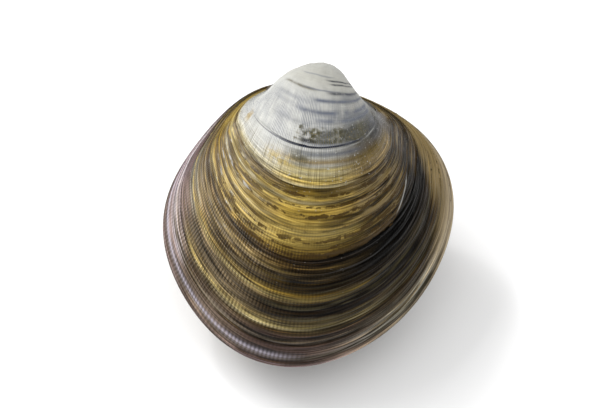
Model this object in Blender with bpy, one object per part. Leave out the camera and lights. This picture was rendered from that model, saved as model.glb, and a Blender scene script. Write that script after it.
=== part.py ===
"""A closed clam: two hollow valves that grew as one spiral each, and the ligament behind the beaks.

Metres, +Z up. Each valve is modelled in the clam's own frame, with the hinge line along X (front end
at +X), the beaks at the origin, the open edge towards -Y and the right valve outwards along +Z. An
empty then leans the pair over, as a clam lies on a table, with the left valve underneath.
"""

import bmesh
import bpy
import math
from mathutils import Matrix, Vector

# Driving dimensions
HALF_LENGTH = 0.022          # half the clam's length, front to back
WALL = 0.0019                # wall, measured in the plane of a growth line
HINGE_PLATE = 0.0022         # how much thicker the wall is along the hinge
PARTING = 0.0003             # space left between the two closed edges
STEP_HEIGHT = 0.00022        # how far the shell draws in after each halt in growth
SPOT_DEPTH = 0.00045         # how much of the belly the resting spot takes off
LEAN = math.radians(15.3)    # how far the open edge hangs down at rest
ROLL = math.radians(1.0)     # how far the front end dips at rest

# Growth: the size of each growth line, for how far it has turned back from the open edge
SIZE_DECAY = (1.07, -0.05, 0.096)
TURN_AT_BEAK = 2.25
TURN_AT_TIP = 2.45
FORWARD = (-0.029, -0.038, -0.268)     # centre of a growth line along X, in its own half lengths
CENTRE = -1.012                        # centre of a growth line along Y
DROP = -0.281                          # how much lower it sits for each radian of turn
EDGE_WAVES = ((2, -0.018, 0.046), (3, 0.0125, 0.0127), (4, 0.007, 0.014), (5, -0.012, -0.0014))
HINGE_HOLD = 0.5             # share of that drop which the hinge side doesn't follow
HINGE_LEVEL = 0.02           # the hinge line stays this far below the axis of growth
HINGE_SOFTNESS = 0.045
UMBO_FROM = 0.75             # turn past which the young shell swells and slants
UMBO_SWELL = 0.163
UMBO_SLANT = 0.177

# Sizes of the shell at which growth halted, as shares of its size now
HALTS = (0.43, 0.53, 0.71, 0.82, 0.89, 0.975)
STEP_LENGTH = 0.022          # share of the size over which a step fades out
STEP_FACE = 0.004            # share of the size that a step's face takes

COLUMNS = 44
OUTER_RINGS = 25
INNER_RINGS = 10
SMALLEST_INNER = 0.27        # size at which the hollow ends, under the umbo

# Ligament, on the hinge line behind the beaks
LIGAMENT_FROM = math.radians(93.0)
LIGAMENT_TO = math.radians(115.0)
LIGAMENT_RADIUS = 0.00095
LIGAMENT_POINTS = 12
LIGAMENT_END = 0.42          # radius at its ends, as a share of the middle
LIGAMENT_SUNK = 0.0016       # how deep its underside lies in the groove of the two edges

CUTTER_SIZE = 0.02


def polynomial(factors, value):
    """Sum of factors times rising powers of value, starting at the power 0."""
    return sum(factor * value ** power for power, factor in enumerate(factors))


def grown_size(turn):
    """Size of the growth line that has turned back by this angle, as a share of the open edge."""
    return math.exp(-turn * polynomial(SIZE_DECAY, turn))


def turn_at(size):
    """The turn whose growth line has this size, found by halving the range."""
    low = 0.0
    high = math.pi
    for _ in range(50):
        middle = (low + high) / 2
        if grown_size(middle) > size:
            low = middle
        else:
            high = middle
    return low


def step_inset(size):
    """How far the surface is drawn in at this size: most just after a halt, and fading from there."""
    inset = 0.0
    for halt in HALTS:
        if size > halt:
            inset += STEP_HEIGHT * math.exp((halt - size) / STEP_LENGTH)
    return inset


def ring_point(turn, sweep, inset=0.0):
    """A point of the growth line at a turn. Sweep runs around it from the front end over the beaks."""
    size = grown_size(turn)
    radius = 1.0 - inset / (HALF_LENGTH * size)
    for count, even, odd in EDGE_WAVES:
        radius += even * math.cos(count * sweep) + odd * math.sin(count * sweep)
    grown = max(turn - UMBO_FROM, 0.0) ** 2
    y = CENTRE + DROP * turn * (1.0 - HINGE_HOLD * max(math.sin(sweep), 0.0) ** 2)
    y += radius * math.sin(sweep)
    y = (y - HINGE_LEVEL - math.hypot(y + HINGE_LEVEL, HINGE_SOFTNESS)) / 2
    x = polynomial(FORWARD, turn) + (1.0 + UMBO_SWELL * grown) * radius * math.cos(sweep)
    x -= UMBO_SLANT * grown * y
    return HALF_LENGTH * size * Vector((x, y * math.cos(turn), -y * math.sin(turn)))


def ring_centre(turn):
    """Middle of the growth line at a turn, where a row of points closes to a pole."""
    ends = [ring_point(turn, sweep) for sweep in (0.0, math.pi / 2, math.pi, -math.pi / 2)]
    return sum(ends, Vector()) / len(ends)


def outer_sizes():
    """Sizes of the growth lines that are modelled: even steps, and two lines at each halt."""
    smallest = grown_size(TURN_AT_BEAK)
    sizes = [smallest + (1.0 - smallest) * ring / (OUTER_RINGS - 1) for ring in range(OUTER_RINGS)]
    close = (1.0 - smallest) / (OUTER_RINGS - 1) / 3
    sizes = [size for size in sizes if size == 1.0 or all(abs(size - halt) > close for halt in HALTS)]
    for halt in HALTS:
        sizes += [halt, halt + STEP_FACE]
    return sorted(sizes)


def wall_inset(sweep):
    """Wall thickness in the plane of a growth line, with the hinge plate at the top."""
    return WALL + HINGE_PLATE * max(math.sin(sweep), 0.0) ** 4


def valve_rows():
    """Rows of points from the beak over the outside to the edge, and back inside to the umbo's hollow."""
    sweeps = [2 * math.pi * column / COLUMNS for column in range(COLUMNS)]
    rows = [[ring_centre(TURN_AT_TIP)] * COLUMNS]
    for size in outer_sizes():
        turn = turn_at(size) if size < 1.0 else 0.0
        inset = step_inset(size)
        rows.append([ring_point(turn, sweep, inset) for sweep in sweeps])
    for ring in range(INNER_RINGS):
        size = 1.0 - (1.0 - SMALLEST_INNER) * ring / (INNER_RINGS - 1)
        turn = turn_at(size) if ring else 0.0
        rows.append([ring_point(turn, sweep, wall_inset(sweep)) for sweep in sweeps])
    rows.append([ring_centre(turn_at(SMALLEST_INNER * 0.93))] * COLUMNS)
    return rows


def wrapped_grid(name, rows):
    """A closed mesh from a grid whose ends are joined around and whose first and last rows are poles."""
    columns = len(rows[0])
    last = len(rows) - 1
    mesh = bpy.data.meshes.new(name)
    bm = bmesh.new()
    bmesh.ops.create_grid(bm, x_segments=columns, y_segments=last, size=0.5)
    for vertex in bm.verts:
        column = round((vertex.co.x + 0.5) * columns) % columns
        row = round((vertex.co.y + 0.5) * last)
        vertex.co = rows[row][column]
    bmesh.ops.remove_doubles(bm, verts=bm.verts, dist=0.000002)
    bmesh.ops.recalc_face_normals(bm, faces=bm.faces)
    bm.to_mesh(mesh)
    bm.free()
    return mesh


def material(name, colour, roughness):
    """A plain Principled material."""
    made = bpy.data.materials.new(name)
    made.use_nodes = True
    shader = made.node_tree.nodes["Principled BSDF"]
    shader.inputs["Base Color"].default_value = (*colour, 1.0)
    shader.inputs["Roughness"].default_value = roughness
    shader.inputs["Metallic"].default_value = 0.0
    return made


def add_object(name, data, collection, parent=None):
    """Link a new object to a collection, riding on the empty that carries the clam."""
    made = bpy.data.objects.new(name, data)
    collection.objects.link(made)
    made.parent = parent
    return made


def add_valve(name, side, collection, parent, finish):
    """One valve: side is 1 for the right one, and -1 for its mirror image."""
    mesh = wrapped_grid(name, valve_rows())
    mesh.transform(Matrix.Translation((0.0, 0.0, PARTING / 2)))
    if side < 0:
        mesh.transform(Matrix.Scale(-1.0, 4, (0.0, 0.0, 1.0)))
        mesh.flip_normals()
    mesh.materials.append(finish)
    mesh.shade_smooth()
    mesh.set_sharp_from_angle(angle=math.radians(40.0))
    return add_object(name, mesh, collection, parent)


def ligament_path():
    """Points and radii of the ligament, which lies in a groove of the edges just behind the beaks."""
    path = []
    for index in range(LIGAMENT_POINTS):
        share = index / (LIGAMENT_POINTS - 1)
        sweep = LIGAMENT_FROM + (LIGAMENT_TO - LIGAMENT_FROM) * share
        thickness = LIGAMENT_END + (1.0 - LIGAMENT_END) * math.sin(math.pi * share) ** 0.7
        along = ring_point(0.0, sweep + 0.01) - ring_point(0.0, sweep - 0.01)
        outward = Vector((along.y, -along.x, 0.0)).normalized()
        lift = LIGAMENT_RADIUS * thickness - LIGAMENT_SUNK
        path.append((ring_point(0.0, sweep) + outward * lift, thickness))
    return path


def ligament_curve(name, clearance):
    """A tapering rod along the ligament's path, thicker by a clearance all round."""
    curve = bpy.data.curves.new(name, "CURVE")
    curve.dimensions = "3D"
    curve.bevel_depth = LIGAMENT_RADIUS
    curve.bevel_resolution = 2
    curve.use_fill_caps = True
    path = ligament_path()
    spline = curve.splines.new("POLY")
    spline.points.add(len(path) - 1)
    for point, (place, thickness) in zip(spline.points, path):
        point.co = (*place, 1.0)
        point.radius = thickness + clearance / LIGAMENT_RADIUS
    along = (path[-1][0] - path[-2][0]).normalized()
    spline.points[0].co = (*(path[0][0] + (path[0][0] - path[1][0]).normalized() * clearance), 1.0)
    spline.points[-1].co = (*(path[-1][0] + along * clearance), 1.0)
    return curve


def cut_ligament_groove(valves, carrier, cutters):
    """Cut the ligament's groove into both hinge edges, with a rod that leaves it a small clearance."""
    rod = add_object("groove_rod", ligament_curve("groove_rod", PARTING), cutters, carrier)
    bpy.context.view_layer.update()
    graph = bpy.context.evaluated_depsgraph_get()
    mesh = bpy.data.meshes.new_from_object(rod.evaluated_get(graph))
    bpy.data.objects.remove(rod, do_unlink=True)
    bm = bmesh.new()
    bm.from_mesh(mesh)
    bmesh.ops.remove_doubles(bm, verts=bm.verts, dist=0.000002)
    bmesh.ops.recalc_face_normals(bm, faces=bm.faces)
    bm.to_mesh(mesh)
    bm.free()
    cutter = add_object("ligament_groove", mesh, cutters, carrier)
    for valve in valves:
        add_cut(valve, "ligament_groove", cutter)


def add_cut(valve, name, cutter):
    """Take a cutter's shape away from a valve, and keep the cutter out of sight."""
    cutter.hide_render = True
    cutter.display_type = "WIRE"
    cut = valve.modifiers.new(name, "BOOLEAN")
    cut.operation = "DIFFERENCE"
    cut.solver = "EXACT"
    cut.object = cutter


def settle(carrier, pieces):
    """Lean the clam over, stand its resting spot on Z = 0 and centre it over the origin."""
    carrier.rotation_euler = (LEAN, ROLL, 0.0)
    turned = carrier.rotation_euler.to_matrix()
    places = [turned @ vertex.co for piece in pieces for vertex in piece.data.vertices]
    middle_x = (min(place.x for place in places) + max(place.x for place in places)) / 2
    middle_y = (min(place.y for place in places) + max(place.y for place in places)) / 2
    carrier.location = (-middle_x, -middle_y, -min(place.z for place in places) - SPOT_DEPTH)


def cut_resting_spot(valve, cutters):
    """Take the lowest part of the belly off flat, with a box whose top is the table's surface."""
    mesh = bpy.data.meshes.new("table_cut")
    bm = bmesh.new()
    bmesh.ops.create_cube(bm, size=CUTTER_SIZE)
    bm.to_mesh(mesh)
    bm.free()
    cutter = add_object("table_cut", mesh, cutters)
    cutter.location = (0.0, 0.0, -CUTTER_SIZE / 2)
    add_cut(valve, "resting_spot", cutter)


def main():
    for old in list(bpy.data.objects):
        bpy.data.objects.remove(old, do_unlink=True)
    clam = bpy.data.collections.new("clam")
    cutters = bpy.data.collections.new("cutters")
    bpy.context.scene.collection.children.link(clam)
    bpy.context.scene.collection.children.link(cutters)
    carrier = add_object("lean", None, clam)
    shell = material("shell", (0.42, 0.34, 0.20), 0.35)
    under_shell = material("under_shell", (0.42, 0.34, 0.20), 0.35)
    horn = material("horn", (0.11, 0.06, 0.03), 0.4)
    right = add_valve("right_valve", 1, clam, carrier, shell)
    left = add_valve("left_valve", -1, clam, carrier, under_shell)
    ligament = add_object("ligament", ligament_curve("ligament", 0.0), clam, carrier)
    ligament.data.materials.append(horn)
    settle(carrier, (right, left))
    cut_ligament_groove((right, left), carrier, cutters)
    cut_resting_spot(left, cutters)


main()
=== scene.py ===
"""The looks of a closed clam: two valves with fine growth ridges, and the horny ligament.

Metres, +Z up. The valves are grown by Geometry Nodes from the same growth rule as the solids, in the
clam's own frame: hinge line along X with the front end at +X, beaks at the origin, open edge towards
-Y, right valve outwards along +Z. The pair is then leaned over to lie on its left valve.
"""

import math

import bmesh
import bpy
from mathutils import Matrix, Vector

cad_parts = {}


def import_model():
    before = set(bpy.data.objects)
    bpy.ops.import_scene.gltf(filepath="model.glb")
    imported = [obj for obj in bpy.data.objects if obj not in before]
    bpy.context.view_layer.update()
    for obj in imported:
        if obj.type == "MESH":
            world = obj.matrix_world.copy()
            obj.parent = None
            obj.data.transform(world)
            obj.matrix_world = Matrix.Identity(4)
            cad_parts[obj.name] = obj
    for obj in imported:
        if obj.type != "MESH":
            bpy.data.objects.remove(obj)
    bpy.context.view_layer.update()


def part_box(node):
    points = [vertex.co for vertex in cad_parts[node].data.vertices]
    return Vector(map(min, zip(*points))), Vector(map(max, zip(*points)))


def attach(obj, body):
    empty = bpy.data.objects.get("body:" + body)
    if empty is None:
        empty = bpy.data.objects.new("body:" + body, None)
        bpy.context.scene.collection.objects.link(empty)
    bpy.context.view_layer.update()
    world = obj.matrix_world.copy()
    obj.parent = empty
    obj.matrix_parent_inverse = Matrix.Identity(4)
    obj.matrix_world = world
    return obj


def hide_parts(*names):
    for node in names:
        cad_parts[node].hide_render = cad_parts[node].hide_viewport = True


MM = 0.001

# The clam's own sizes. All are the solids' own but SEAM, the narrow gap drawn between the valves
HALF_LENGTH = 22.0 * MM
WALL = 1.9 * MM
HINGE_PLATE = 2.2 * MM
PARTING = 0.3 * MM
SEAM = 0.05 * MM
STEP_HEIGHT = 0.22 * MM
LEAN = math.radians(15.3)
ROLL = math.radians(1.0)
SIZE_DECAY = (1.07, -0.05, 0.096)
TURN_AT_BEAK = 2.25
FORWARD = (-0.029, -0.038, -0.268)
CENTRE = -1.012
DROP = -0.281
EDGE_WAVES = ((2, -0.018, 0.046), (3, 0.0125, 0.0127), (4, 0.007, 0.014), (5, -0.012, -0.0014))
HINGE_HOLD = 0.5
HINGE_LEVEL = 0.02
HINGE_SOFTNESS = 0.045
UMBO_FROM = 0.75
UMBO_SWELL = 0.163
UMBO_SLANT = 0.177
HALTS = (0.43, 0.53, 0.71, 0.82, 0.89, 0.975)
STEP_LENGTH = 0.022
SMALLEST_INNER = 0.27
CROWDING = 0.6
YOUNG_TILT = 0.025
LIGAMENT_FROM = math.radians(93.0)
LIGAMENT_TO = math.radians(115.0)
LIGAMENT_RADIUS = 0.95 * MM
LIGAMENT_END = 0.42
LIGAMENT_SUNK = 1.6 * MM

# How growth lines crowd towards the hinge: the direction where it starts, and how strongly
CROWDED_BACK = (math.radians(195.0), 0.44)
CROWDED_FRONT = (math.radians(370.0), 0.62)
CROWDING_POWER = 1.9
YOUNG_TILT_SWEEP = (math.radians(275.0), math.radians(200.0))
YOUNG_TILT_AGE = (0.22, 0.15)

# Growth ridges: how many across, how broken along them, seed, height in millimetres
FINE_RIDGES = (150.0, 2.2, 1.0, 0.18)
MEDIUM_RIDGES = (62.0, 1.6, 2.0, 0.22)
BROAD_RIDGES = (20.0, 1.2, 3.0, 0.26)
LUMPS = (4.0, 2.5, 4.0, 0.35)
# Raised cords of growth: age, half width and height in millimetres
CORDS = (
    (0.515, 0.004, 0.06), (0.60, 0.005, 0.05), (0.645, 0.004, 0.05), (0.695, 0.005, 0.08),
    (0.745, 0.004, 0.07), (0.765, 0.004, 0.06), (0.815, 0.006, 0.10), (0.883, 0.004, 0.09),
    (0.896, 0.004, 0.11), (0.932, 0.004, 0.10), (0.972, 0.005, 0.13),
)

# How finely the valves and the ligament are made
COLUMNS = 236
OUTER_ROWS = 396
INNER_ROWS = 18
COARSE_COLUMNS = 88
COARSE_ROWS = 90
NEWTON_STEPS = 3
TIP_ROUNDING = 60.0
VALVE_MERGE = 0.5e-6
LIGAMENT_COLUMNS = 40
LIGAMENT_ROWS = 150
LIGAMENT_MERGE = 1.0e-6
LIGAMENT_ROUNDING = 24.0
LAMINAE = 46.0
LAMINA_HEIGHT = 0.05 * MM
SWEEP_STEP = 0.01

# The photograph's view of the right valve, in the clam's own frame
PHOTO_WIDTH = 612.0
PHOTO_HEIGHT = 408.0
VIEW_TURN = -0.315
VIEW_TILT = 0.345
VIEW_SPIN = -0.439
BEAK_X = 326.9
BEAK_Y = 82.6
PIXELS_PER_HALF = 143.3
CAMERA_AWAY = 20.0
SENSOR = 36.0

# The studio: where the lights aim, then each light's place, side and power
LIT_SPOT = (0.0, 0.0, 0.01)
KEY_LIGHT = ((-0.52, 0.30, 0.46), 0.40, 4.8)
GLINT_LIGHT = ((-0.34, 0.30, 0.42), 0.05, 0.5)
OVERHEAD_LIGHT = ((0.0, 0.05, 0.90), 1.40, 3.0)
SKY_COLOUR = (1.0, 1.0, 1.0, 1.0)
SKY_STRENGTH = 0.70
FLOOR_HALF = 3.0
FLOOR_COLOUR = (0.92, 0.92, 0.92, 1.0)
FLOOR_ROUGHNESS = 0.9

# How bright a fully lit white skin is seen
SKIN_LIGHT = 1.5
# The skin's shine, and how strong and how deep the finest relief is
SHINE = 0.21
COAT = 0.14
COAT_ROUGHNESS = 0.12
SKIN_BUMP = (0.75, 0.12 * MM)
HORN_BUMP = (0.6, 0.08 * MM)


class Number:
    """A value in a node tree. Arithmetic on it adds Math nodes to the tree."""

    def __init__(self, tree, socket):
        self.tree = tree
        self.socket = socket

    def joined(self, operation, *others):
        node = self.tree.nodes.new("ShaderNodeMath")
        node.operation = operation
        for slot, value in zip(node.inputs, (self, *others)):
            connect(self.tree, value, slot)
        return Number(self.tree, node.outputs[0])

    def __add__(self, other):
        return self.joined("ADD", other)

    def __sub__(self, other):
        return self.joined("SUBTRACT", other)

    def __mul__(self, other):
        return self.joined("MULTIPLY", other)

    def __truediv__(self, other):
        return self.joined("DIVIDE", other)

    def __rsub__(self, other):
        return (self * -1.0) + other

    def __neg__(self):
        return self * -1.0


def connect(tree, value, slot):
    """Feed a node's input from a Number, a socket or a plain value."""
    if isinstance(value, Number):
        tree.links.new(value.socket, slot)
    elif isinstance(value, bpy.types.NodeSocket):
        tree.links.new(value, slot)
    else:
        slot.default_value = value


def cosine(value):
    return value.joined("COSINE")


def sine(value):
    return value.joined("SINE")


def exponential(value):
    return value.joined("EXPONENT")


def greatest(value, other):
    return value.joined("MAXIMUM", other)


def least(value, other):
    return value.joined("MINIMUM", other)


def power(value, exponent):
    return value.joined("POWER", exponent)


def absolute(value):
    return value.joined("ABSOLUTE")


def over(value, edge):
    return value.joined("GREATER_THAN", edge)


def root(value):
    return value.joined("SQRT")


def polynomial(factors, value):
    """Sum of factors times rising powers of a Number, starting at the power 0."""
    total = value * factors[-1]
    for factor in reversed(factors[1:-1]):
        total = (total + factor) * value
    return total + factors[0]


def between(value, low, high):
    """0 below low, 1 above high, and a soft rise from one to the other. Low may be the greater."""
    node = value.tree.nodes.new("ShaderNodeMapRange")
    node.interpolation_type = "SMOOTHSTEP"
    node.clamp = True
    connect(value.tree, value, node.inputs["Value"])
    node.inputs["From Min"].default_value = low
    node.inputs["From Max"].default_value = high
    return Number(value.tree, node.outputs["Result"])


def bell(value, centre, width):
    """1 at the centre, falling to about a third a width away."""
    away = (value - centre) * (1.0 / width)
    return exponential(-(away * away))


def blend(low, high, share):
    """Low where share is 0, high where it is 1."""
    return low + (high - low) * share


def vector(tree, x, y, z):
    node = tree.nodes.new("ShaderNodeCombineXYZ")
    for slot, value in zip(node.inputs, (x, y, z)):
        connect(tree, value, slot)
    return node.outputs[0]


def parts_of(tree, socket):
    """The three Numbers in a vector."""
    node = tree.nodes.new("ShaderNodeSeparateXYZ")
    tree.links.new(socket, node.inputs[0])
    return [Number(tree, output) for output in node.outputs]


def noise(tree, place, scale=1.0, detail=2.0, roughness=0.5, seed=0.0):
    """Smooth noise from 0 to 1 around 0.5, at a place given by a vector socket."""
    node = tree.nodes.new("ShaderNodeTexNoise")
    node.noise_dimensions = "4D"
    tree.links.new(place, node.inputs["Vector"])
    node.inputs["W"].default_value = seed
    node.inputs["Scale"].default_value = scale
    node.inputs["Detail"].default_value = detail
    node.inputs["Roughness"].default_value = roughness
    return Number(tree, node.outputs[0])


def grown_log(turn):
    """How far, as a logarithm, the shell had still to grow at this turn."""
    return polynomial((0.0, *SIZE_DECAY), turn)


def turn_at(size):
    """The turn whose growth line has this size, by Newton's rule."""
    wanted = -size.joined("LOGARITHM", math.e)
    turn = wanted / SIZE_DECAY[0]
    slope = tuple((index + 1) * factor for index, factor in enumerate(SIZE_DECAY))
    for _ in range(NEWTON_STEPS):
        turn = turn - (grown_log(turn) - wanted) / polynomial(slope, turn)
    return turn


def growth_line(size, turn, sweep, inset, half):
    """Place of a point on a growth line of a size and turn, at a sweep around it and an inset from it."""
    radius = 1.0 - inset / (size * half)
    for count, even, odd in EDGE_WAVES:
        radius = radius + cosine(sweep * count) * even + sine(sweep * count) * odd
    upper = greatest(sine(sweep), 0.0)
    grown = greatest(turn - UMBO_FROM, 0.0)
    grown = grown * grown
    level = (1.0 - upper * upper * HINGE_HOLD) * turn * DROP + CENTRE
    y = level + radius * sine(sweep)
    above = y + HINGE_LEVEL
    y = (y - HINGE_LEVEL - root(above * above + HINGE_SOFTNESS ** 2)) * 0.5
    x = polynomial(FORWARD, turn) + (grown * UMBO_SWELL + 1.0) * radius * cosine(sweep)
    x = x - grown * y * UMBO_SLANT
    scale = size * half
    return x * scale, y * cosine(turn) * scale, -(y * sine(turn) * scale)


def growth_age(size, sweep):
    """The age of the shell at a point: its size, held back towards the hinge, where lines crowd."""
    back = power(greatest(CROWDED_BACK[0] - sweep, 0.0), CROWDING_POWER) * CROWDED_BACK[1]
    front = power(greatest(sweep - CROWDED_FRONT[0], 0.0), CROWDING_POWER) * CROWDED_FRONT[1]
    crowding = least(greatest(back, front), CROWDING)
    tilt = between(sweep, *YOUNG_TILT_SWEEP) * bell(size, *YOUNG_TILT_AGE) * YOUNG_TILT
    return size * (1.0 - crowding * (1.0 - power(size, 6.0))) + tilt


def group_tree(name, sizes):
    """An empty Geometry Nodes tree with named inputs, as (tree, {name: input}, output slot)."""
    tree = bpy.data.node_groups.new(name, "GeometryNodeTree")
    tree.interface.new_socket("Geometry", in_out="OUTPUT", socket_type="NodeSocketGeometry")
    for label, kind, value in sizes:
        made = tree.interface.new_socket(label, in_out="INPUT", socket_type=kind)
        if value is not None:
            made.default_value = value
    entry = tree.nodes.new("NodeGroupInput")
    inputs = {}
    for label, kind, _ in sizes:
        socket = entry.outputs[label]
        inputs[label] = Number(tree, socket) if kind in ("NodeSocketFloat", "NodeSocketInt") else socket
    leave = tree.nodes.new("NodeGroupOutput")
    return tree, inputs, leave.inputs[0]


def chained(tree, kind, geometry, **values):
    """Add a geometry node after a geometry socket, set its inputs by name, and return its geometry."""
    node = tree.nodes.new(kind)
    slot = next(item for item in node.inputs if item.type == "GEOMETRY")
    tree.links.new(geometry, slot)
    for label, value in values.items():
        connect(tree, value, node.inputs[label.replace("_", " ")])
    return node.outputs[0]


def stored(tree, geometry, name, value, kind="FLOAT"):
    """Store a named attribute on the points."""
    node = tree.nodes.new("GeometryNodeStoreNamedAttribute")
    node.data_type = kind
    node.domain = "POINT"
    node.inputs["Name"].default_value = name
    tree.links.new(geometry, node.inputs["Geometry"])
    slot = next(item for item in node.inputs if item.name == "Value" and item.enabled)
    connect(tree, value, slot)
    return node.outputs[0]


def named(tree, name, kind="FLOAT"):
    """Read a named attribute inside a Geometry Nodes tree."""
    node = tree.nodes.new("GeometryNodeInputNamedAttribute")
    node.data_type = kind
    node.inputs["Name"].default_value = name
    socket = next(item for item in node.outputs if item.enabled)
    return socket if kind == "FLOAT_VECTOR" else Number(tree, socket)


def position(tree):
    return tree.nodes.new("GeometryNodeInputPosition").outputs[0]


def finished(tree, mesh, material, leave):
    """Make the grown mesh real, give it its material, and hand it out of the tree."""
    mesh = chained(tree, "GeometryNodeRealizeInstances", mesh)
    mesh = chained(tree, "GeometryNodeSetMaterial", mesh, Material=material)
    tree.links.new(mesh, leave)


def grid_shares(tree, columns, rows):
    """A grid of faces, with each point's share along its columns and its rows."""
    grid = tree.nodes.new("GeometryNodeMeshGrid")
    grid.inputs["Size X"].default_value = 1.0
    grid.inputs["Size Y"].default_value = 1.0
    connect(tree, columns + 1.0, grid.inputs["Vertices X"])
    connect(tree, rows + 1.0, grid.inputs["Vertices Y"])
    across, along, _ = parts_of(tree, position(tree))
    return grid.outputs["Mesh"], across + 0.5, along + 0.5


def ridge_relief(tree, age, around, strength):
    """Height of the growth ridges over the smooth shell, in metres."""
    cos_part, sin_part, _ = parts_of(tree, around)

    def ridges(count, looseness, seed, height):
        place = vector(tree, cos_part * looseness, sin_part * looseness, age * count)
        return (noise(tree, place, 1.0, 1.0, 0.5, seed) - 0.5) * (height * MM)

    unworn = between(age, 0.2, 0.46) * 0.85 + 0.15
    calm = 1.0 - between(age, 0.54, 0.58) * between(age, 0.71, 0.67) * 0.45
    height = ridges(*FINE_RIDGES) + (ridges(*MEDIUM_RIDGES) + ridges(*BROAD_RIDGES)) * calm
    height = height * unworn + ridges(*LUMPS)
    for place, width, lift in CORDS:
        height = height + bell(age, place, width) * (lift * MM)
    return height * strength


def valve_tree():
    """The Geometry Nodes tree that grows one valve as a closed hollow shell."""
    tree, sizes, leave = group_tree("valve_growth", (
        ("Columns", "NodeSocketInt", COLUMNS),
        ("Outer Rows", "NodeSocketInt", OUTER_ROWS),
        ("Inner Rows", "NodeSocketInt", INNER_ROWS),
        ("Half Length", "NodeSocketFloat", HALF_LENGTH),
        ("Wall", "NodeSocketFloat", WALL),
        ("Hinge Plate", "NodeSocketFloat", HINGE_PLATE),
        ("Step Height", "NodeSocketFloat", STEP_HEIGHT),
        ("Ridges", "NodeSocketFloat", 1.0),
        ("Side", "NodeSocketFloat", 1.0),
        ("Parting", "NodeSocketFloat", PARTING),
        ("Lean", "NodeSocketVector", (LEAN, ROLL, 0.0)),
        ("Place", "NodeSocketVector", (0.0, 0.0, 0.0)),
        ("Floor", "NodeSocketFloat", -1.0),
        ("Shell", "NodeSocketMaterial", None),
    ))
    half = sizes["Half Length"]
    outer_rows = sizes["Outer Rows"]
    rows = outer_rows + sizes["Inner Rows"]
    mesh, across, along = grid_shares(tree, sizes["Columns"], rows)
    row = along * rows
    outside = 1.0 - over(row, outer_rows + 0.5)
    outer_share = least(row / outer_rows, 1.0)
    inner_share = greatest((row - outer_rows - 1.0) / (sizes["Inner Rows"] - 1.0), 0.0)
    beak_size = math.exp(-sum(f * TURN_AT_BEAK ** (i + 1) for i, f in enumerate(SIZE_DECAY)))
    outer_size = outer_share * (1.0 - beak_size) + beak_size
    inner_size = 1.0 - inner_share * (1.0 - SMALLEST_INNER)
    size = blend(inner_size, outer_size, outside)
    turn = greatest(turn_at(size), 0.0)
    sweep = across * (2.0 * math.pi) + math.pi / 2.0
    age = growth_age(size, sweep)
    step = sizes["Step Height"] * 0.0
    for halt in HALTS:
        fading = exponential((age - halt) * (-1.0 / STEP_LENGTH))
        step = step + over(age, halt) * fading * sizes["Step Height"]
    hinge = power(greatest(sine(sweep), 0.0), 4.0)
    wall = sizes["Wall"] + sizes["Hinge Plate"] * hinge
    inset = blend(wall, step, outside)
    tip_in = least(outer_share * TIP_ROUNDING, 1.0)
    cap = root(tip_in * (2.0 - tip_in))
    pole_in = 1.0 - over(inner_share, 0.999)
    closing = blend(pole_in, cap, outside)
    middle = growth_line(size, turn, sweep * 0.0 - math.pi / 2.0, size * HALF_LENGTH, half)
    rim = growth_line(size, turn, sweep, inset, half)
    place = vector(tree, *(blend(inner, outer, closing) for inner, outer in zip(middle, rim)))
    around = vector(tree, cosine(sweep), sine(sweep), 0.0)
    mesh = stored(tree, mesh, "around", around, "FLOAT_VECTOR")
    mesh = stored(tree, mesh, "age", age)
    mesh = stored(tree, mesh, "outside", outside)
    mesh = chained(tree, "GeometryNodeSetPosition", mesh, Position=place)
    mesh = chained(tree, "GeometryNodeMergeByDistance", mesh, Distance=VALVE_MERGE)
    kept_around = named(tree, "around", "FLOAT_VECTOR")
    kept_age = named(tree, "age")
    ridges = ridge_relief(tree, kept_age, kept_around, sizes["Ridges"])
    _, sin_part, _ = parts_of(tree, kept_around)
    near_edge = between(kept_age, 1.0, 0.993)
    away_from_hinge = between(sin_part, 0.985, 0.90)
    young = between(kept_age, 0.03, 0.12)
    ridges = ridges * near_edge * away_from_hinge * young * named(tree, "outside")
    normal = tree.nodes.new("GeometryNodeInputNormal").outputs[0]
    push = tree.nodes.new("ShaderNodeVectorMath")
    push.operation = "SCALE"
    tree.links.new(normal, push.inputs[0])
    connect(tree, ridges, push.inputs["Scale"])
    mesh = chained(tree, "GeometryNodeSetPosition", mesh, Offset=push.outputs[0])
    x, y, z = parts_of(tree, position(tree))
    lifted = greatest(z, 0.0) + sizes["Parting"] * 0.5
    sided = vector(tree, x, y, lifted * sizes["Side"])
    mesh = chained(tree, "GeometryNodeSetPosition", mesh, Position=sided)
    mesh = chained(tree, "GeometryNodeTransform", mesh, Translation=sizes["Place"], Rotation=sizes["Lean"])
    x, y, z = parts_of(tree, position(tree))
    floored = vector(tree, x, y, greatest(z, sizes["Floor"]))
    mesh = chained(tree, "GeometryNodeSetPosition", mesh, Position=floored)
    finished(tree, mesh, sizes["Shell"], leave)
    return tree


def grown_piece(name, tree, values):
    """Run a Geometry Nodes tree once, with named values, and keep the result as a plain mesh."""
    empty_mesh = bpy.data.meshes.new(name + "_seed")
    carrier = bpy.data.objects.new(name + "_seed", empty_mesh)
    bpy.context.scene.collection.objects.link(carrier)
    modifier = carrier.modifiers.new("growth", "NODES")
    modifier.node_group = tree
    for item in tree.interface.items_tree:
        if item.in_out == "INPUT" and item.name in values:
            modifier[item.identifier] = values[item.name]
    bpy.context.view_layer.update()
    graph = bpy.context.evaluated_depsgraph_get()
    mesh = bpy.data.meshes.new_from_object(carrier.evaluated_get(graph))
    bpy.data.objects.remove(carrier, do_unlink=True)
    mesh.name = name
    bm = bmesh.new()
    bm.from_mesh(mesh)
    bmesh.ops.recalc_face_normals(bm, faces=bm.faces)
    bm.to_mesh(mesh)
    bm.free()
    mesh.shade_smooth()
    piece = bpy.data.objects.new(name, mesh)
    bpy.context.scene.collection.objects.link(piece)
    return piece


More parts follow.
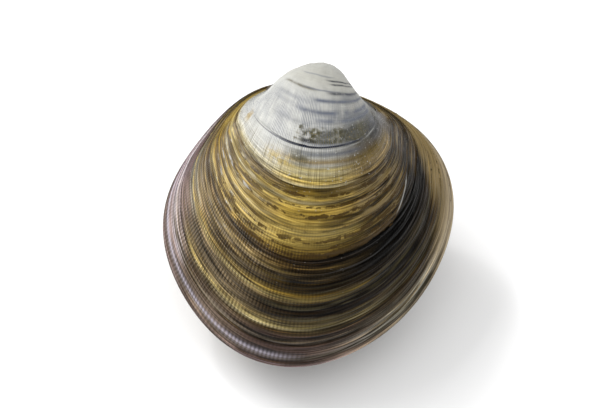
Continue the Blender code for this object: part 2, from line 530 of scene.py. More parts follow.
def corners(piece):
    """Lowest and highest corners of a piece's mesh."""
    low = Vector(min(v.co[i] for v in piece.data.vertices) for i in range(3))
    high = Vector(max(v.co[i] for v in piece.data.vertices) for i in range(3))
    return low, high


def seen(red, green, blue):
    """A colour as it is seen in the studio, from 0 to 255, made into the skin's own linear colour."""
    def linear(value):
        share = value / 255.0
        return share / 12.92 if share <= 0.04045 else ((share + 0.055) / 1.055) ** 2.4
    return (linear(red) / SKIN_LIGHT, linear(green) / SKIN_LIGHT, linear(blue) / SKIN_LIGHT, 1.0)


COLOURS = {
    "chalk": seen(215, 215, 210),
    "pearl": seen(196, 195, 186),
    "ash": seen(160, 160, 152),
    "slate": seen(112, 118, 132),
    "ink": seen(22, 27, 48),
    "stain": seen(84, 78, 38),
    "cream": seen(214, 204, 164),
    "straw": seen(192, 176, 114),
    "gold": seen(203, 177, 92),
    "ochre": seen(178, 149, 60),
    "olive": seen(116, 96, 36),
    "moss": seen(94, 86, 56),
    "umber": seen(84, 62, 18),
    "bark": seen(56, 41, 18),
    "pitch": seen(26, 22, 9),
    "smoke": seen(106, 96, 82),
    "plum": seen(96, 75, 70),
    "mauve": seen(146, 124, 131),
    "lilac": seen(216, 207, 222),
    "khaki": seen(162, 141, 96),
    "tan": seen(196, 180, 152),
}

# What the skin's colour is multiplied by in darker and paler growth lines; DUSKY darkens the scratches and
# lays painted shade over the dark front
DARKER = (0.20, 0.16, 0.06, 1.0)
DUSKY = (0.32, 0.28, 0.16, 1.0)
PALER = (1.75, 1.70, 1.60, 1.0)
# How much a drawn growth line is raised or sunk
LINE_RELIEF = 0.22


def ramp(tree, factor, bands):
    """A colour ramp through named colours, from a list of (place, colour name)."""
    node = tree.nodes.new("ShaderNodeValToRGB")
    node.color_ramp.interpolation = "LINEAR"
    stops = node.color_ramp.elements
    stops[0].position = bands[0][0]
    stops[0].color = COLOURS[bands[0][1]]
    stops[1].position = bands[-1][0]
    stops[1].color = COLOURS[bands[-1][1]]
    for place, colour in bands[1:-1]:
        made = stops.new(place)
        made.color = COLOURS[colour]
    connect(tree, factor, node.inputs["Fac"])
    return node.outputs["Color"]


def mixed(tree, share, low, high, mode="MIX"):
    """Mix two colours, each a socket or a colour's name, by a share."""
    node = tree.nodes.new("ShaderNodeMix")
    node.data_type = "RGBA"
    node.blend_type = mode
    node.clamp_factor = True
    slots = {item.identifier: item for item in node.inputs}
    connect(tree, share, slots["Factor_Float"])
    for key, colour in (("A_Color", low), ("B_Color", high)):
        connect(tree, COLOURS[colour] if isinstance(colour, str) else colour, slots[key])
    return next(item for item in node.outputs if item.identifier == "Result_Color")


# Bands of colour from the umbo to the newest edge, down the middle of the valve
YOUNG_MIDDLE = (
    (0.00, "ash"), (0.24, "pearl"), (0.31, "chalk"), (0.438, "chalk"), (0.447, "ash"), (0.457, "pearl"),
    (0.468, "khaki"), (0.477, "pearl"), (0.486, "straw"), (0.495, "cream"), (0.507, "straw"),
    (0.518, "gold"), (0.526, "cream"), (0.531, "olive"), (0.547, "olive"), (0.552, "gold"), (0.560, "gold"),
)
# The smoke stop at .978 is a painted highlight band along the rim
GROWN_MIDDLE = (
    (0.560, "gold"), (0.565, "cream"), (0.570, "gold"), (0.590, "ochre"), (0.615, "gold"),
    (0.640, "gold"), (0.665, "gold"), (0.690, "ochre"), (0.703, "umber"), (0.718, "umber"),
    (0.728, "khaki"), (0.740, "olive"), (0.750, "smoke"), (0.758, "olive"), (0.772, "bark"),
    (0.786, "olive"), (0.796, "ochre"), (0.806, "straw"), (0.816, "khaki"), (0.826, "bark"),
    (0.854, "bark"), (0.868, "khaki"), (0.883, "straw"), (0.894, "cream"),
    (0.900, "umber"), (0.916, "plum"), (0.930, "smoke"), (0.938, "plum"), (0.960, "plum"),
    (0.978, "smoke"), (0.986, "plum"), (1.000, "mauve"),
)
# The back end, to the left of the beak
YOUNG_BACK = (
    (0.00, "ash"), (0.24, "pearl"), (0.30, "chalk"), (0.49, "chalk"), (0.516, "cream"), (0.526, "umber"),
    (0.540, "khaki"), (0.560, "straw"),
)
# The lilac stop at .972 is a painted highlight band along the rim
GROWN_BACK = (
    (0.560, "straw"), (0.573, "ochre"), (0.582, "umber"), (0.597, "cream"), (0.609, "ochre"),
    (0.622, "olive"), (0.640, "ochre"), (0.656, "umber"), (0.675, "ochre"), (0.690, "straw"),
    (0.700, "olive"), (0.716, "umber"), (0.728, "bark"), (0.740, "khaki"), (0.758, "smoke"),
    (0.775, "khaki"), (0.790, "ash"), (0.806, "khaki"), (0.816, "straw"), (0.826, "ash"),
    (0.840, "plum"), (0.860, "mauve"), (0.880, "mauve"), (0.895, "mauve"), (0.920, "lilac"),
    (0.935, "lilac"), (0.950, "mauve"), (0.972, "lilac"), (0.984, "mauve"), (1.000, "mauve"),
)
# The front half, to the right of the middle
YOUNG_FRONT = (
    (0.00, "ash"), (0.25, "pearl"), (0.335, "pearl"), (0.362, "ash"), (0.388, "moss"), (0.425, "moss"),
    (0.450, "smoke"), (0.470, "olive"), (0.500, "khaki"), (0.518, "khaki"), (0.528, "umber"),
    (0.540, "khaki"), (0.560, "olive"),
)
# The ash stops from .950 to .976 are a painted grey highlight band along the rim
GROWN_FRONT = (
    (0.560, "olive"), (0.575, "umber"), (0.590, "khaki"), (0.610, "olive"), (0.622, "khaki"),
    (0.640, "umber"), (0.660, "olive"), (0.685, "umber"), (0.700, "pitch"), (0.740, "pitch"),
    (0.780, "bark"), (0.795, "umber"), (0.806, "stain"), (0.815, "smoke"), (0.826, "bark"),
    (0.865, "umber"), (0.876, "smoke"), (0.890, "moss"), (0.905, "umber"), (0.922, "smoke"),
    (0.940, "smoke"), (0.950, "ash"), (0.958, "tan"), (0.966, "ash"), (0.976, "ash"),
    (0.988, "smoke"), (1.000, "tan"),
)
# The age where the ramps for the grown shell take over
YOUNG_UNTIL = 0.5575

# Bands over the worn umbo: age, half width, strength, degrees from and to, colour
UMBO_BANDS = (
    (0.214, 0.0035, 0.55, -125.0, -70.0, "slate"), (0.229, 0.0036, 1.00, -80.0, 0.0, "ink"),
    (0.243, 0.0036, 0.95, -75.0, 0.0, "ink"), (0.272, 0.0050, 0.85, -150.0, -98.0, "moss"),
    (0.270, 0.0030, 0.70, -115.0, -60.0, "slate"), (0.276, 0.0055, 1.00, -78.0, 6.0, "ink"),
    (0.303, 0.0065, 1.00, -100.0, 4.0, "slate"), (0.313, 0.0080, 0.45, -150.0, -95.0, "slate"),
    (0.339, 0.0070, 1.00, -112.0, 6.0, "slate"), (0.333, 0.0080, 0.40, -150.0, -105.0, "slate"),
    (0.362, 0.0065, 0.85, -95.0, 6.0, "slate"), (0.374, 0.0080, 0.45, -135.0, -88.0, "slate"),
    (0.288, 0.0160, 0.50, -62.0, -8.0, "slate"), (0.352, 0.0200, 0.50, -80.0, 2.0, "slate"),
    (0.395, 0.0120, 0.55, -50.0, 6.0, "slate"), (0.424, 0.0035, 0.65, -104.0, -45.0, "slate"),
)
# Patches on the umbo: age, half width, degrees from and to, softness, blotches, strength, colour
UMBO_PATCHES = (
    (0.482, 0.018, -132.0, -108.0, 8.0, 0.36, 0.56, 0.75, "gold"),
    (0.464, 0.018, -112.0, -96.0, 6.0, 0.64, 0.44, 0.80, "stain"),
)

# Riblets all around the valve and how far they stray, and ridges over the whole age at the back
RIBS = 216.0
RIB_WANDER = 0.07
BACK_RIDGES = 36.0
# How the long painted highlight line in front crosses the ages
GLINT_LINE_SLANT = 0.0945

# Directions around the valve, in degrees: 0 the front end, 90 the hinge, 180 the back, -90 the open edge
FRONT = 22.0
DARK_FRONT = -52.0
STAIN = -62.0
BEADED_BACK = -145.0
TAN_WASH_BACK = -148.0
LILAC_HIGHLIGHT = -150.0
GROOVED_BACK = -152.0
GLINT_TOPS = -162.0
BACK = 172.0
OCHRE_BACK = 181.0

# Noise drawn out along the growth lines: how broken along them, how many across, seed, detail
GRAINS = {
    "age drift": (2.0, 6.0, 5.0, 1.0),
    "edge drift": (1.6, 24.0, 6.0, 3.0),
    "wide lines": (1.3, 74.0, 7.0, 2.0),
    "thin lines": (2.2, 150.0, 8.0, 2.0),
    "hair lines": (3.5, 330.0, 9.0, 2.0),
    "broken marks": (6.5, 84.0, 11.0, 3.0),
    "ragged marks": (34.0, 110.0, 12.0, 2.0),
    "patchy": (3.0, 26.0, 12.0, 4.0),
    "blotches": (14.0, 80.0, 13.0, 4.0),
    "pale specks": (26.0, 190.0, 14.0, 2.0),
    "scratches": (170.0, 11.0, 15.0, 2.0),
    "riblet wear": (5.0, 60.0, 16.0, 3.0),
    "bead breaks": (1.5, 50.0, 17.0, 2.0),
    "gloss": (6.0, 70.0, 18.0, 3.0),
    "mottle": (6.0, 34.0, 19.0, 4.0),
    "dark specks": (40.0, 200.0, 23.0, 2.0),
    "ochre specks": (40.0, 160.0, 24.0, 2.0),
    "glint_flecks": (20.0, 190.0, 25.0, 3.0),
    "striae breaks": (4.0, 16.0, 27.0, 2.0),
    "back glints": (2.6, 95.0, 28.0, 3.0),
    "top glints": (5.0, 46.0, 29.0, 3.0),
    "groove drift": (1.4, 16.0, 41.0, 3.0),
    "groove breaks": (2.0, 40.0, 42.0, 2.0),
}

# Growth lines: how broken, how many, width, strength, seed of the noise, what they do to the colour
GROWTH_LINES = (
    (0.35, 44.0, 0.040, 0.85, 31.0, DARKER), (0.55, 96.0, 0.050, 0.75, 32.0, DARKER),
    (0.80, 170.0, 0.080, 0.60, 35.0, DARKER), (0.30, 36.0, 0.030, 0.80, 33.0, PALER),
    (0.50, 80.0, 0.045, 0.70, 34.0, PALER), (0.80, 150.0, 0.070, 0.70, 36.0, PALER),
)
# Lines over the front half: how broken, how many, width, seed of the noise
FRONT_LINES = ((0.30, 34.0, 0.030, 37.0), (0.50, 74.0, 0.040, 38.0))
# Rows of broken brown marks: age, half width, how full
MARKED_ROWS = (
    (0.549, 0.006, 1.0), (0.575, 0.005, 0.8), (0.598, 0.010, 1.0), (0.634, 0.006, 0.8),
    (0.657, 0.009, 1.0), (0.676, 0.007, 0.9), (0.692, 0.008, 1.1),
)


def attribute(tree, name, output="Fac"):
    """Read an attribute of the mesh inside a material, as a number or as another output."""
    node = tree.nodes.new("ShaderNodeAttribute")
    node.attribute_name = name
    return node.outputs[output]


def bumped(tree, height, bump):
    """A surface normal raised by a height, with the bump's (strength, distance)."""
    node = tree.nodes.new("ShaderNodeBump")
    node.inputs["Strength"].default_value = bump[0]
    node.inputs["Distance"].default_value = bump[1]
    connect(tree, height, node.inputs["Height"])
    return node.outputs["Normal"]


class Skin:
    """The valve's skin while it is laid: where each point lies on the shell, and the colour so far."""

    def __init__(self, tree):
        self.tree = tree
        self.age = Number(tree, attribute(tree, "age"))
        self.outside = Number(tree, attribute(tree, "outside"))
        self.cos_part, self.sin_part, _ = parts_of(tree, attribute(tree, "around", "Vector"))
        self.angle = self.sin_part.joined("ARCTAN2", self.cos_part)
        spot = vector(tree, self.cos_part * 3.0, self.sin_part * 3.0, self.age * 2.0)
        uneven = noise(tree, spot, 1.0, 2.0, 0.5, 4.0)
        self.rib_angle = self.angle + (uneven - 0.5) * RIB_WANDER
        rib = (self.rib_angle * (RIBS / (2.0 * math.pi))).joined("FLOOR") * (2.0 * math.pi / RIBS)
        self.rib_cos = cosine(rib)
        self.rib_sin = sine(rib)
        self.age_here = self.age + (self.grain("age drift") - 0.5) * 0.008
        self.drift = self.grain("edge drift") - 0.5
        self.find_regions()
        self.colour = None
        self.carved = self.relief = self.age * 0.0

    def find_regions(self):
        """The parts of the valve that have a look of their own."""
        widened = between(self.age, 0.84, 0.95) * 0.12
        self.back = between(self.facing(BACK) + self.drift * 0.12 + widened, 0.84, 0.975)
        self.front = between(self.facing(FRONT) + self.drift * 0.5, -0.38, 0.50)
        # The tan front edge: partly the skin's own tan, partly painted light reflected from the bright
        # surroundings where the valve turns steeply
        tan_edge = (self.age - 0.72) * 2.5 + self.angle + self.drift * 0.6
        tan_side = between(self.cos_part, -0.1, 0.2)
        self.tan_reflection_zone = between(tan_edge, 0.24, 0.64) * self.aged(0.64, 0.74) * tan_side
        # The dark front: the skin's own dark brown, darkened further by painted shade where the valve turns
        # away from the light
        shaded_dark_front = between(self.facing(DARK_FRONT) + self.drift * 0.25, 0.35, 0.88)
        shaded_dark_front = shaded_dark_front * between(self.age_here, 0.60, 0.73) * between(self.age_here, 0.965, 0.84)
        self.shaded_dark_front = shaded_dark_front * (1.0 - self.turned(-28.0, 5.0) * 0.5)
        # Age slanted along the long painted highlight line in front; the black front begins past it
        self.glint_line = self.age + self.angle * GLINT_LINE_SLANT
        past_line = self.sector(-30.0, 8.0, 6.0) * between(self.glint_line, 0.644, 0.652)
        self.past_line = past_line * between(self.age, 0.76, 0.72)
        self.grown = self.aged(0.44, 0.56) * (1.0 - self.tan_reflection_zone * 0.60)
        self.chalky = between(self.age, 0.50, 0.40)
        self.scratchy = self.aged(0.24, 0.34, 0.50, 0.57)

    def streaks(self, looseness, count, seed, detail=2.0, ribbed=False):
        """Noise drawn out along the growth lines: looseness breaks it up along them, count across them."""
        east, north = (self.rib_cos, self.rib_sin) if ribbed else (self.cos_part, self.sin_part)
        place = vector(self.tree, east * looseness, north * looseness, self.age * count)
        return noise(self.tree, place, 1.0, detail, 0.55, seed)

    def grain(self, name, ribbed=False):
        """One of the named noises; a ribbed one keeps its value across each riblet."""
        return self.streaks(*GRAINS[name], ribbed=ribbed)

    def facing(self, degrees):
        """1 in one direction around the valve, falling to -1 on the far side."""
        return cosine(self.angle - math.radians(degrees))

    def turned(self, start, end):
        """0 before one direction and 1 past the other, in degrees."""
        return between(self.angle, math.radians(start), math.radians(end))

    def sector(self, start, end, softness=9.0):
        """1 between two directions around the valve, in degrees, with soft ends."""
        return self.turned(start - softness, start + softness) * self.turned(end + softness, end - softness)

    def aged(self, start, full, fading=None, gone=None):
        """1 in a span of ages: it rises from start to full, and falls from fading to gone if given."""
        share = between(self.age, start, full)
        return share if fading is None else share * between(self.age, gone, fading)

    def lay(self, share, colour):
        """Lay a colour over the skin by a share."""
        self.colour = mixed(self.tree, share, self.colour, colour)

    def tint(self, share, factor):
        """Darken or brighten the skin by a share."""
        self.colour = mixed(self.tree, share, self.colour, factor, "MULTIPLY")


def lay_bands(skin):
    """The bands of colour down the middle of the valve, over its front half and over its back end."""
    older = over(skin.age_here, YOUNG_UNTIL)

    def banded(young, grown):
        early = ramp(skin.tree, skin.age_here, young)
        return mixed(skin.tree, older, early, ramp(skin.tree, skin.age_here, grown))

    skin.colour = banded(YOUNG_MIDDLE, GROWN_MIDDLE)
    skin.lay(skin.front, banded(YOUNG_FRONT, GROWN_FRONT))
    pale_back = between(skin.facing(180.0) + skin.drift * 0.4, 0.22, 0.66) * between(skin.age, 0.555, 0.535)
    skin.lay(greatest(skin.back, pale_back), banded(YOUNG_BACK, GROWN_BACK))


def lay_shades(skin):
    """The black front, the brown beside the umbo, the tan front edge with painted reflected light, painted
    shade over the dark front, and a paler back half.
    """
    far_front = skin.turned(-35.0, 8.0) * between(skin.cos_part, 0.0, 0.3)
    far_front = far_front * skin.aged(0.50, 0.57, 0.67, 0.74)
    skin.lay(greatest(far_front, skin.past_line) * 0.85, "pitch")
    beside = skin.turned(-2.0, 18.0) * between(skin.cos_part, 0.6, 0.8)
    skin.lay(beside * skin.aged(0.38, 0.46, 0.67, 0.74) * 0.85, "bark")
    # Painted reflected light over the tan front edge, partly its own tan
    skin.lay(skin.tan_reflection_zone * 0.92, mixed(skin.tree, skin.aged(0.88, 0.98), "khaki", "tan"))
    # Painted shade over the dark front
    skin.tint(skin.shaded_dark_front * (1.0 - skin.tan_reflection_zone), DUSKY)
    # A lighter, less saturated tan wash over the lower back
    tan_wash = between(skin.facing(TAN_WASH_BACK), 0.72, 0.94) * skin.aged(0.54, 0.60)
    skin.lay(tan_wash * 0.22, "tan")


def lay_growth_lines(skin):
    """Long thin dark and pale growth lines that come and go, with their relief."""
    wide = skin.grain("wide lines")
    thin = skin.grain("thin lines")
    hair = skin.grain("hair lines")
    plain = skin.aged(0.50, 0.54, 0.67, 0.71) * (1.0 - skin.front) * (1.0 - skin.back * 0.6)
    broad_share = 1.0 - greatest(skin.front * 0.5, plain * 0.75)
    lines = (wide - 0.5) * broad_share + (thin - 0.5) * (skin.front * 1.6 + 1.9) + (hair - 0.5) * 1.3
    drawn_here = skin.grown * (1.0 - plain * 0.30)
    skin.tint(between(lines, 0.02, -0.42) * (drawn_here * 0.62 + 0.05), DARKER)
    skin.tint(between(lines, 0.10, 0.55) * (drawn_here * 0.55 + 0.06), PALER)
    for looseness, count, width, strength, seed, factor in GROWTH_LINES:
        drawn = between(absolute(skin.streaks(looseness, count, seed) - 0.5), width, width * 0.4)
        drawn = drawn * between(skin.streaks(3.0, count * 0.6, seed + 0.5), 0.32, 0.56)
        skin.tint(drawn * drawn_here * strength, factor)
        skin.carved = skin.carved + drawn * (LINE_RELIEF if factor is PALER else -LINE_RELIEF)
    skin.relief = skin.relief + thin * 0.8 + hair * 0.45 + wide * 0.3


def lay_front_lines(skin):
    """Thin olive lines over the black front, and khaki ones with a dark side over the shell before it."""
    before_black = skin.front * skin.aged(0.50, 0.55, 0.67, 0.70) * (1.0 - skin.past_line)
    for looseness, count, width, seed in FRONT_LINES:
        run = skin.streaks(looseness, count, seed) - 0.5
        drawn = between(absolute(run), width, width * 0.3)
        drawn = drawn * between(skin.streaks(2.0, count * 0.5, seed + 0.5), 0.34, 0.60)
        skin.lay(drawn * skin.shaded_dark_front * skin.aged(0.75, 0.82) * 0.75, "moss")
        shaded = between(absolute(run - width * 2.2), width * 1.2, width * 0.4)
        skin.lay(shaded * before_black * 0.75, "pitch")
        skin.lay(drawn * before_black * 0.75, "khaki")


def lay_brown_marks(skin):
    """Rows of broken brown marks over the ochre, ragged where they cross the riblets."""
    row = skin.age * 0.0
    for place, width, fullness in MARKED_ROWS:
        row = greatest(row, bell(skin.age_here, place, width) * fullness)
    broken = skin.grain("broken marks") - 0.5
    ragged = skin.grain("ragged marks", ribbed=True) - 0.5
    marks = between(row * 0.46 + broken * 1.6 + ragged * 0.8 + skin.front * 0.10, 0.34, 0.52)
    marks = marks * between(row, 0.10, 0.40) * (1.0 - skin.back * 0.6) * (1.0 - skin.past_line)
    skin.lay(marks * 0.9, "umber")


def lay_glints_and_straw_ridge(skin):
    """The long painted highlight before the black front, the straw ridge, painted highlights on the ridges
    at the back, and scattered painted glints.
    """
    # A painted highlight: the long thin white line before the black front
    long_glint = skin.sector(-24.0, -2.0, 4.0) * bell(skin.glint_line, 0.643, 0.0026)
    skin.lay(long_glint * 0.85, "chalk")
    straw_ridge = skin.sector(-108.0, -62.0, 12.0) * bell(skin.age_here, 0.640, 0.012)
    skin.lay(straw_ridge * 0.3, "straw")
    # Painted highlights: pale elongated glints on the ridges towards the back
    back_glints = skin.sector(-165.0, -122.0, 14.0) * skin.aged(0.50, 0.53, 0.58, 0.68)
    skin.lay(back_glints * between(skin.grain("back glints"), 0.54, 0.66) * 0.6, "cream")
    # Painted highlights: small scattered white glints
    glint_flecks = between(skin.grain("glint_flecks"), 0.66, 0.76) * skin.aged(0.46, 0.52, 0.60, 0.90)
    skin.lay(glint_flecks * (1.0 - skin.front * 0.6) * 0.75, "chalk")


def lay_grooves(skin):
    """Even ridges towards the back, with a brown groove between them and a painted highlight along their
    tops.
    """
    ridged = between(skin.facing(GROOVED_BACK), 0.74, 0.93) * skin.aged(0.53, 0.57, 0.70, 0.76)
    wander = (skin.grain("groove drift") - 0.5) * 0.030
    ridge = cosine((skin.age + wander) * (2.0 * math.pi * BACK_RIDGES))
    groove = between(ridge, 0.62, 0.96) * between(skin.grain("groove breaks"), 0.30, 0.50)
    skin.lay(groove * ridged * 0.8, "umber")
    # Painted highlight along the ridge tops
    top_glint = between(ridge, -0.50, -0.95) * between(skin.grain("top glints"), 0.50, 0.62)
    skin.lay(top_glint * between(skin.facing(GLINT_TOPS), 0.82, 0.94) * ridged * 0.75, "chalk")
    skin.carved = skin.carved - groove * ridged * 0.5


def lay_umbo_marks(skin, patchy, blotches):
    """The worn umbo's blue-grey bands, its patches, its olive stain and its dark blots."""
    for place, width, strength, start, end, colour in UMBO_BANDS:
        band = bell(skin.age_here, place, width) * skin.sector(start, end) * between(patchy, 0.20, 0.55)
        skin.lay(band * strength, colour)
    for place, width, start, end, softness, low, high, strength, colour in UMBO_PATCHES:
        patch = skin.sector(start, end, softness) * bell(skin.age_here, place, width)
        skin.lay(patch * between(blotches, low, high) * strength, colour)
    shade = bell(skin.age_here, 0.449, 0.006) * skin.sector(-102.0, -45.0)
    skin.lay(shade * 0.55, "slate")
    ragged = blotches - 0.5
    stain = between(skin.facing(STAIN) + ragged * 0.9, 0.60, 0.84)
    stain = stain * between(skin.age_here + ragged * 0.04, 0.374, 0.394) * between(skin.age, 0.424, 0.418)
    skin.lay(stain * (between(blotches, 0.30, 0.60) * 0.5 + 0.5), "stain")
    skin.lay(stain * between(skin.grain("dark specks"), 0.60, 0.68) * 0.8, "pitch")
    skin.lay(stain * between(skin.grain("ochre specks"), 0.60, 0.70) * 0.8, "ochre")
    blot = bell(skin.age_here, 0.4165, 0.005) * skin.sector(-105.0, -95.0, 4.0)
    skin.lay(blot * 0.75, "ink")
    blot = bell(skin.age_here, 0.424, 0.034) * skin.sector(-24.0, 14.0, 10.0) * between(patchy, 0.10, 0.40)
    skin.lay(blot * 0.85, "pitch")
    specks = between(skin.grain("pale specks"), 0.64, 0.70)
    skin.lay(specks * skin.aged(0.33, 0.39, 0.50, 0.56), "chalk")


def lay_chalk_edge(skin, patchy, blotches):
    """The dark line where the umbo's chalk ends, the white one past it, and an ochre patch behind."""
    here = between(skin.facing(BACK), 0.97, 0.86) * between(skin.facing(-95.0), -0.05, 0.35)
    ink_age = skin.age + skin.cos_part * 0.008 + skin.turned(-45.0, -15.0) * 0.008
    thick = skin.sector(-128.0, -48.0, 20.0) * 0.8 + 0.2
    ink_line = between(absolute(ink_age - 0.4305) - thick * 0.0024, 0.0018, 0.0)
    ink_line = ink_line * here * between(patchy, 0.22, 0.36) * (thick * 0.5 + 0.5)
    skin.lay(ink_line, "ink")
    white_line = bell(ink_age, 0.4385, 0.0024) * here * between(patchy, 0.30, 0.50)
    skin.lay(white_line * 0.9, "chalk")
    patch = between(skin.facing(OCHRE_BACK), 0.985, 0.997) * bell(skin.age, 0.452, 0.020)
    skin.lay(patch * between(blotches, 0.30, 0.42) * 0.9, "ochre")


def lay_scratches(skin):
    """Fine radial scratches round the umbo, dark and rubbed pale, and the mottled chalk."""
    scratches = skin.grain("scratches")
    scratched = between(scratches, 0.50, 0.64) * (skin.scratchy * 0.70 + 0.05)
    skin.tint(scratched * (skin.aged(0.42, 0.46) * 0.7 + 0.3), DUSKY)
    rubbed = between(scratches, 0.46, 0.32) * (skin.scratchy * 0.45 + 0.05)
    skin.tint(rubbed * (1.0 - skin.tan_reflection_zone), PALER)
    skin.lay(between(skin.grain("mottle"), 0.60, 0.30) * skin.chalky * 0.25, "ash")
    skin.relief = skin.relief + (scratches - 0.5) * skin.scratchy * 0.25


def lay_riblets(skin):
    """Riblets, which cut the back's growth lines into beads, and a painted lilac highlight band at the
    edge, beaded by the riblets.
    """
    riblet = cosine(skin.rib_angle * RIBS) * 0.5 + 0.5
    beaded = between(skin.facing(BEADED_BACK), 0.36, 0.86) * skin.aged(0.60, 0.72)
    wear = skin.grain("riblet wear")
    ribbed_here = (between(skin.age, 0.935, 0.895) * 0.75 + 0.25) * (1.0 - skin.back * 0.55)
    valley = power(1.0 - riblet, 1.6) * (beaded * ribbed_here * 0.62 + 0.12)
    skin.tint(valley * between(wear, 0.36, 0.62) * skin.grown * (1.0 - skin.tan_reflection_zone), DARKER)
    crest = riblet * riblet * beaded * ribbed_here * between(skin.grain("bead breaks"), 0.40, 0.62)
    skin.tint(crest * skin.grown * 0.55, PALER)
    # Painted highlight: the lilac band along the edge
    edge_highlight = bell(skin.age, 0.970, 0.0080) * between(skin.facing(LILAC_HIGHLIGHT), 0.40, 0.68)
    skin.lay(edge_highlight * (riblet * 0.6 + 0.4), "lilac")
    striae = power(1.0 - riblet, 2.6) * between(skin.grain("striae breaks"), 0.28, 0.62)
    skin.lay(skin.chalky * skin.scratchy * striae, "slate")
    skin.relief = skin.relief + riblet * (beaded * 0.55 + 0.12) * between(wear, 0.25, 0.60)


def finish_skin(skin, shader):
    """The smooth white inside, the gloss, and the relief too fine for the mesh."""
    tree = skin.tree
    tree.links.new(mixed(tree, skin.outside, "chalk", skin.colour), shader.inputs["Base Color"])
    worn = between(skin.grain("gloss"), 0.2, 0.8)
    rough = blend(worn * 0.22 + 0.26, worn * 0.2 + 0.5, between(skin.age, 0.46, 0.34)) + skin.shaded_dark_front * 0.16
    connect(tree, rough, shader.inputs["Roughness"])
    shader.inputs["Specular IOR Level"].default_value = SHINE
    shader.inputs["Coat Weight"].default_value = COAT
    shader.inputs["Coat Roughness"].default_value = COAT_ROUGHNESS
    relief = skin.relief + skin.carved * skin.grown * (1.0 - skin.shaded_dark_front)
    normal = bumped(tree, relief * skin.outside, SKIN_BUMP)
    tree.links.new(normal, shader.inputs["Normal"])
    tree.links.new(normal, shader.inputs["Coat Normal"])


def shell_material(name):
    """The valve's skin, laid from the ground colours up to the last fine marks."""
    made = bpy.data.materials.new(name)
    made.use_nodes = True
    skin = Skin(made.node_tree)
    patchy = skin.grain("patchy")
    blotches = skin.grain("blotches", ribbed=True)
    lay_bands(skin)
    lay_shades(skin)
    lay_growth_lines(skin)
    lay_front_lines(skin)
    lay_brown_marks(skin)
    lay_glints_and_straw_ridge(skin)
    lay_grooves(skin)
    lay_umbo_marks(skin, patchy, blotches)
    lay_chalk_edge(skin, patchy, blotches)
    lay_scratches(skin)
    lay_riblets(skin)
    finish_skin(skin, made.node_tree.nodes["Principled BSDF"])
    return made


def ligament_tree():
    """The Geometry Nodes tree for the ligament: a tapering band of laminae along the hinge line."""
    tree, sizes, leave = group_tree("ligament_band", (
        ("Around", "NodeSocketInt", LIGAMENT_COLUMNS),
        ("Along", "NodeSocketInt", LIGAMENT_ROWS),
        ("Radius", "NodeSocketFloat", LIGAMENT_RADIUS),
        ("Sunk", "NodeSocketFloat", LIGAMENT_SUNK),
        ("Half Length", "NodeSocketFloat", HALF_LENGTH),
        ("Laminae", "NodeSocketFloat", LAMINA_HEIGHT),
        ("Lean", "NodeSocketVector", (LEAN, ROLL, 0.0)),
        ("Place", "NodeSocketVector", (0.0, 0.0, 0.0)),
        ("Horn", "NodeSocketMaterial", None),
    ))
    mesh, across, along = grid_shares(tree, sizes["Around"], sizes["Along"])
    zero = along * 0.0
    one = zero + 1.0

    def spot(sweep):
        return growth_line(one, zero, sweep, zero, sizes["Half Length"])

    sweep = along * (LIGAMENT_TO - LIGAMENT_FROM) + LIGAMENT_FROM
    here = spot(sweep)
    after = spot(sweep + SWEEP_STEP)
    before = spot(sweep - SWEEP_STEP)
    step_x = after[0] - before[0]
    step_y = after[1] - before[1]
    length = root(step_x * step_x + step_y * step_y)
    out_x = step_y / length
    out_y = -step_x / length
    bulge = power(sine(along * math.pi), 0.7) * (1.0 - LIGAMENT_END) + LIGAMENT_END
    end = least(least(along, 1.0 - along) * LIGAMENT_ROUNDING, 1.0)
    cap = root(greatest(end * (2.0 - end), 0.0))
    ring = across * (2.0 * math.pi)
    layered = vector(tree, along * LAMINAE, cosine(ring) * 0.8, sine(ring) * 0.8)
    laminae = noise(tree, layered, 1.0, 3.0, 0.6, 20.0)
    relief = (laminae - 0.65) * sizes["Laminae"] * 2.0
    radius = (sizes["Radius"] * bulge + relief) * cap
    lift = sizes["Radius"] * bulge - sizes["Sunk"]
    outward = lift + radius * cosine(ring)
    place = vector(tree, here[0] + out_x * outward, here[1] + out_y * outward, radius * sine(ring))
    mesh = stored(tree, mesh, "along", along)
    mesh = chained(tree, "GeometryNodeSetPosition", mesh, Position=place)
    mesh = chained(tree, "GeometryNodeMergeByDistance", mesh, Distance=LIGAMENT_MERGE)
    mesh = chained(tree, "GeometryNodeTransform", mesh, Translation=sizes["Place"], Rotation=sizes["Lean"])
    finished(tree, mesh, sizes["Horn"], leave)
    return tree


def horn_material(name):
    """Dark brown horn in fine cross layers."""
    made = bpy.data.materials.new(name)
    made.use_nodes = True
    tree = made.node_tree
    shader = tree.nodes["Principled BSDF"]
    where = tree.nodes.new("ShaderNodeTexCoord").outputs["Object"]
    along = Number(tree, attribute(tree, "along"))
    patches = noise(tree, where, 900.0, 4.0, 0.6, 21.0)
    layers = noise(tree, vector(tree, along * 70.0, patches * 0.6, 0.0), 1.0, 3.0, 0.6, 22.0)
    colour = mixed(tree, between(layers, 0.35, 0.7), "bark", "umber")
    colour = mixed(tree, between(patches, 0.55, 0.75) * 0.5, colour, "pitch")
    tree.links.new(colour, shader.inputs["Base Color"])
    connect(tree, patches * 0.3 + 0.3, shader.inputs["Roughness"])
    tree.links.new(bumped(tree, layers + patches * 0.4, HORN_BUMP), shader.inputs["Normal"])
    return made


def plain_material(name, colour, roughness):
    """A material of one colour."""
    made = bpy.data.materials.new(name)
    made.use_nodes = True
    shader = made.node_tree.nodes["Principled BSDF"]
    shader.inputs["Base Color"].default_value = colour
    shader.inputs["Roughness"].default_value = roughness
    return made


def clam_to_world(place):
    """From the clam's own frame to the table's."""
    turned = Matrix.Rotation(ROLL, 4, "Y") @ Matrix.Rotation(LEAN, 4, "X")
    return Matrix.Translation(place) @ turned


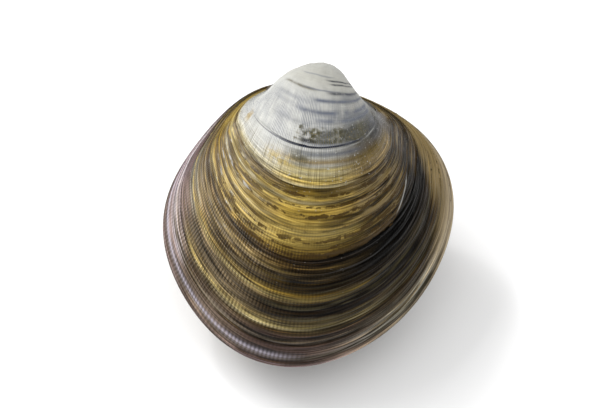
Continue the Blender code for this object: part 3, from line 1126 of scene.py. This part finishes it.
def make_floor():
    """The pale ground that the clam lies on."""
    mesh = bpy.data.meshes.new("floor")
    bm = bmesh.new()
    bmesh.ops.create_grid(bm, x_segments=1, y_segments=1, size=FLOOR_HALF)
    bm.to_mesh(mesh)
    bm.free()
    mesh.materials.append(plain_material("pale_floor", FLOOR_COLOUR, FLOOR_ROUGHNESS))
    floor = bpy.data.objects.new("floor", mesh)
    bpy.context.scene.collection.objects.link(floor)
    return floor


def make_light(name, place, side, watts):
    """A soft square white light at a place, facing the clam."""
    data = bpy.data.lights.new(name, "AREA")
    data.shape = "SQUARE"
    data.size = side
    data.energy = watts
    light = bpy.data.objects.new(name, data)
    light.location = place
    light.rotation_euler = (Vector(LIT_SPOT) - Vector(place)).to_track_quat("-Z", "Y").to_euler()
    bpy.context.scene.collection.objects.link(light)
    return light


def make_camera(place):
    """The camera, which sees the right valve as the photograph does."""
    view = Matrix.Rotation(VIEW_SPIN, 4, "Z")
    view = view @ Matrix.Rotation(-VIEW_TILT, 4, "X") @ Matrix.Rotation(-VIEW_TURN, 4, "Z")
    focal = PIXELS_PER_HALF * CAMERA_AWAY
    aim = Matrix.Rotation(math.atan2(BEAK_X - PHOTO_WIDTH / 2, focal), 4, "Y")
    aim = aim @ Matrix.Rotation(-math.atan2(PHOTO_HEIGHT / 2 - BEAK_Y, focal), 4, "X")
    stand = Matrix.Translation((0.0, 0.0, CAMERA_AWAY * HALF_LENGTH))
    data = bpy.data.cameras.new("camera")
    data.sensor_width = SENSOR
    data.lens = SENSOR * focal / PHOTO_WIDTH
    camera = bpy.data.objects.new("camera", data)
    camera.matrix_world = clam_to_world(place) @ view.inverted() @ stand @ aim
    bpy.context.scene.collection.objects.link(camera)
    bpy.context.scene.camera = camera


def main():
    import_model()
    shell = shell_material("shell_skin")
    horn = horn_material("horn")
    tree = valve_tree()

    # A coarse valve shows how far the clam's own frame lies from the solids' frame
    coarse = {"Shell": shell, "Columns": COARSE_COLUMNS, "Outer Rows": COARSE_ROWS}
    first = grown_piece("first_growth", tree, coarse)
    low, high = corners(first)
    solid_low, solid_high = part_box("right_valve")
    place = (solid_low + solid_high - low - high) / 2
    bpy.data.objects.remove(first, do_unlink=True)

    closed = {"Shell": shell, "Place": place, "Parting": SEAM}
    right = grown_piece("right_valve_shell", tree, closed)
    left = grown_piece("left_valve_shell", tree, {**closed, "Side": -1.0, "Floor": 0.0})
    band = grown_piece("ligament_band", ligament_tree(), {"Horn": horn, "Place": place})
    stand_for = (
        (right, "right_valve", "shell"),
        (left, "left_valve", "shell"),
        (band, "ligament", "ligament"),
    )
    for piece, node, slot in stand_for:
        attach(piece, "root")
        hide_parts(node)

    make_floor()
    make_camera(place)
    make_light("key", *KEY_LIGHT)
    make_light("glint", *GLINT_LIGHT)
    overhead = make_light("overhead", *OVERHEAD_LIGHT)
    overhead.visible_glossy = False
    world = bpy.data.worlds.new("studio")
    world.use_nodes = True
    sky = world.node_tree.nodes["Background"]
    sky.inputs["Color"].default_value = SKY_COLOUR
    sky.inputs["Strength"].default_value = SKY_STRENGTH
    world.cycles_visibility.glossy = False
    bpy.context.scene.world = world
    bpy.context.scene.view_settings.view_transform = "Standard"

    bpy.context.view_layer.update()


main()
